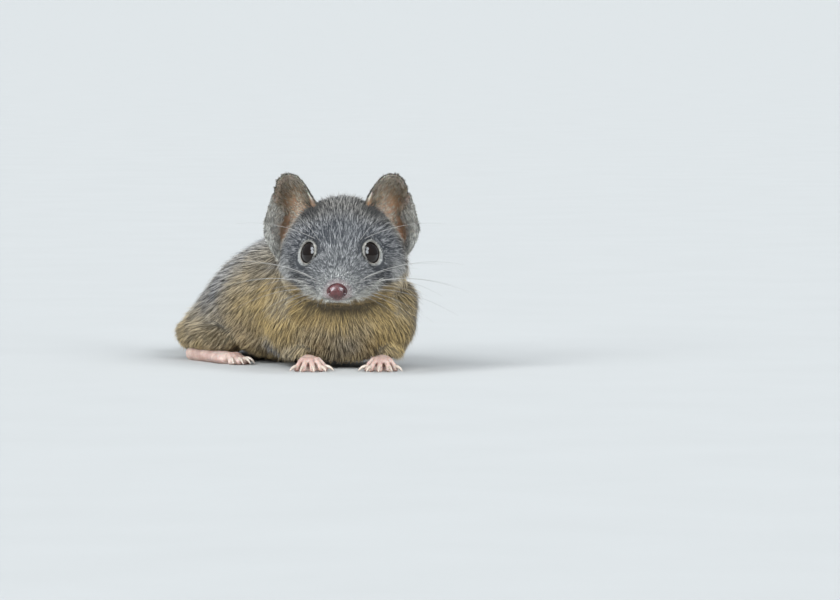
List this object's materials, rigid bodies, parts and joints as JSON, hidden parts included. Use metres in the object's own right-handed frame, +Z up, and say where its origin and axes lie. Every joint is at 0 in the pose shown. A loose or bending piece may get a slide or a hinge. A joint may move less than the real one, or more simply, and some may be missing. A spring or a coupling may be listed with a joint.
{
  "type": "antechinus",
  "caption": "Small carnivorous marsupial crouched on all fours with the head up, rounded ears, a pointed snout and a thin tail curled round behind, as a still life-size model.",
  "frame": {"origin": "on the floor, under the centre of the footprint's bounding box", "axes": "+Z up; the head looks along -Y; +X is the animal's left; the spine bends towards -X and the tail lies behind at +Y"},
  "size_m": [0.0524, 0.104, 0.0343],
  "materials": {
    "grizzled_coat": "short dense fur, slate grey ticked with cream",
    "ochre_coat": "soft fur, ochre and olive grey",
    "ear_skin": "thin skin with sparse short hairs",
    "bare_skin": "matt pink skin with pale claws",
    "nose_pad": "moist bare skin",
    "eye": "wet and glossy",
    "tail_tip": "very short dark fur"
  },
  "bodies": {
    "root": {"belly": "ochre_coat", "chest": "ochre_coat", "ear_left": "ear_skin", "ear_right": "ear_skin", "eye_left": "eye", "eye_right": "eye", "foot_left": "bare_skin", "foot_right": "bare_skin", "forearm_left": "ochre_coat", "forearm_right": "ochre_coat", "hand_left": "bare_skin", "hand_right": "bare_skin", "head": "grizzled_coat", "jaw": "grizzled_coat", "neck": "grizzled_coat", "nose": "nose_pad", "rump": "ochre_coat", "shank_left": "ochre_coat", "shank_right": "ochre_coat", "tail_base": "ochre_coat", "tail_bend": "ochre_coat", "tail_middle": "ochre_coat", "tail_tip": "tail_tip", "thigh_left": "ochre_coat", "thigh_right": "ochre_coat", "upper_arm_left": "ochre_coat", "upper_arm_right": "ochre_coat"}
  },
  "joints": []
}
